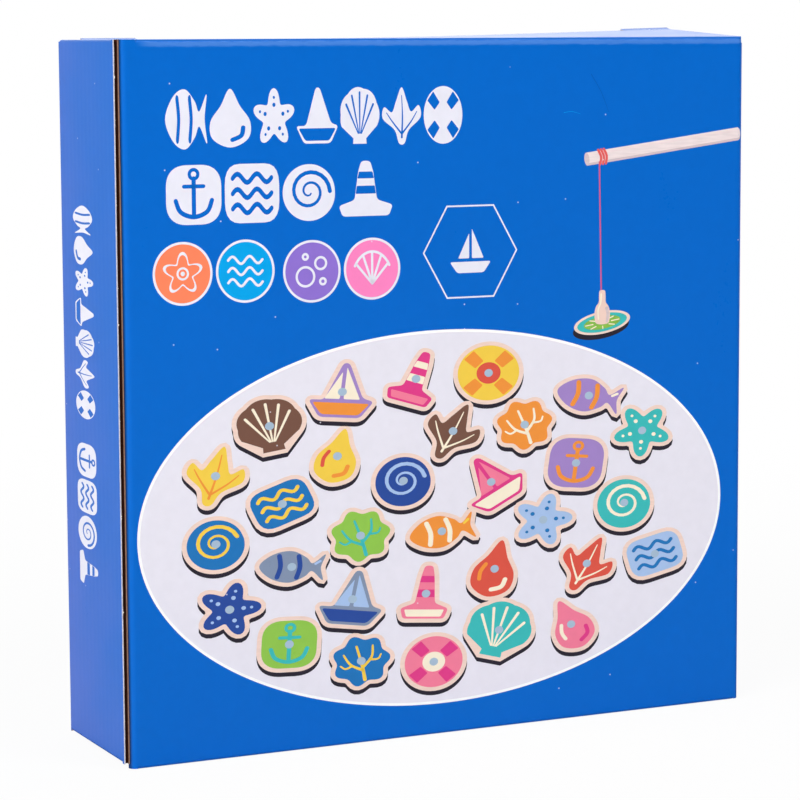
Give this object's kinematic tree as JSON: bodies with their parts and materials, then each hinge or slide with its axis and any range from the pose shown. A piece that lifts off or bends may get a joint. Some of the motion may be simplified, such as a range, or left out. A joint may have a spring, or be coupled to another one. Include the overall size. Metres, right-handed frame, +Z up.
{
  "type": "printed cardboard game box",
  "caption": "Upright tuck-top game box in printed fine-fluted board, with a hinged lid and tuck flap, dust flaps and a crash-lock bottom.",
  "frame": {"origin": "under the middle of the box, on the surface it stands on", "axes": "+X to the right along the front panel, +Y from the front panel to the back panel, +Z up"},
  "size_m": [0.2176, 0.052, 0.2232],
  "materials": {
    "printed_board": "satin print film outside, plain brown inside"
  },
  "bodies": {
    "carton": {"carton": "printed_board"},
    "lid": {"lid": "printed_board"}
  },
  "joints": [
    {"name": "lid_crease", "type": "hinge", "parent": "carton", "child": "lid", "pos_m": [0, -0.026, 0.22], "axis": [1, 0, 0], "range_deg": [0, 180]}
  ]
}
